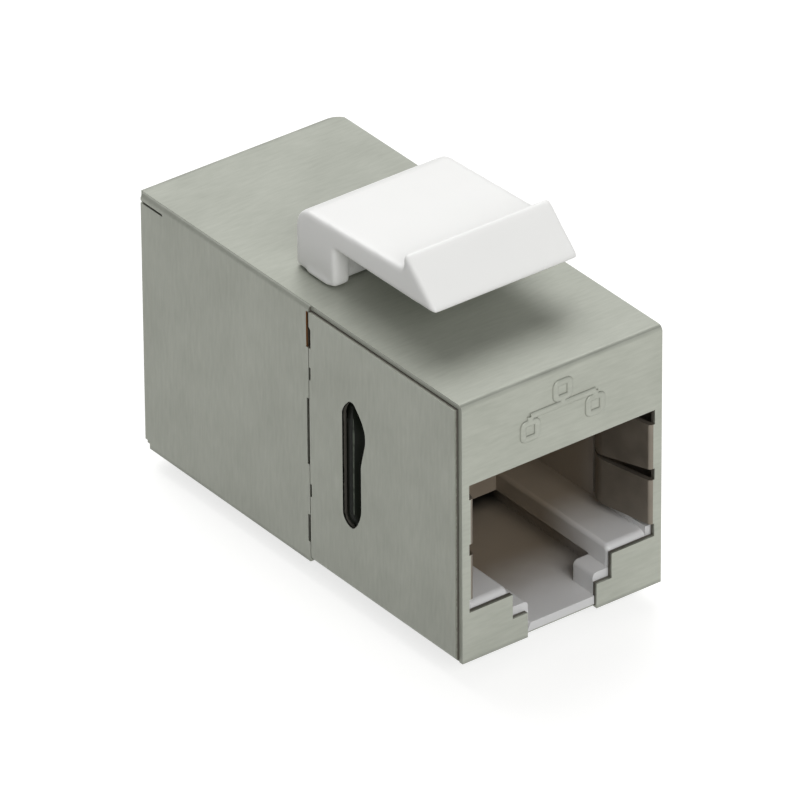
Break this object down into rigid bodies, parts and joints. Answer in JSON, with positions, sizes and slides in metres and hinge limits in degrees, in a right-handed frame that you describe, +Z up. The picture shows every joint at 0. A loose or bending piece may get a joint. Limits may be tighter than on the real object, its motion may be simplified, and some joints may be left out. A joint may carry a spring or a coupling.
{
  "type": "keystone jack",
  "caption": "Shielded in-line keystone jack: folded metal box with a plug socket at each end, a sprung snap latch on top and a fixed lug below.",
  "frame": {"origin": "bottom centre of the whole part's box, at the fixed lug's underside", "axes": "+Y from the front socket to the rear socket, +Z up to the latch, +X to the right seen from the front"},
  "size_m": [0.014, 0.0286, 0.0226],
  "materials": {
    "plated_steel": "satin plated sheet",
    "white_plastic": "moulded, satin",
    "black_plastic": "moulded, glossy",
    "gold_plated_bronze": "gold plated",
    "board_laminate": "sawn glass laminate"
  },
  "bodies": {
    "jack": {"upper_shield": "plated_steel", "lower_shield": "plated_steel", "front_socket_housing": "white_plastic", "rear_socket_housing": "white_plastic", "front_contact_carrier": "black_plastic", "rear_contact_carrier": "black_plastic", "circuit_board": "board_laminate", "front_contact_1": "gold_plated_bronze", "front_contact_2": "gold_plated_bronze", "front_contact_3": "gold_plated_bronze", "front_contact_4": "gold_plated_bronze", "front_contact_5": "gold_plated_bronze", "front_contact_6": "gold_plated_bronze", "front_contact_7": "gold_plated_bronze", "front_contact_8": "gold_plated_bronze", "rear_contact_1": "gold_plated_bronze", "rear_contact_2": "gold_plated_bronze", "rear_contact_3": "gold_plated_bronze", "rear_contact_4": "gold_plated_bronze", "rear_contact_5": "gold_plated_bronze", "rear_contact_6": "gold_plated_bronze", "rear_contact_7": "gold_plated_bronze", "rear_contact_8": "gold_plated_bronze"},
    "latch": {"latch": "white_plastic"}
  },
  "joints": [
    {"name": "latch_flex", "type": "hinge", "parent": "jack", "child": "latch", "pos_m": [0, -0.00038, 0.01775], "axis": [1, 0, 0], "range_deg": [0, 9], "stiffness_Nm_per_rad": 0.3, "springref_deg": -1.15}
  ]
}
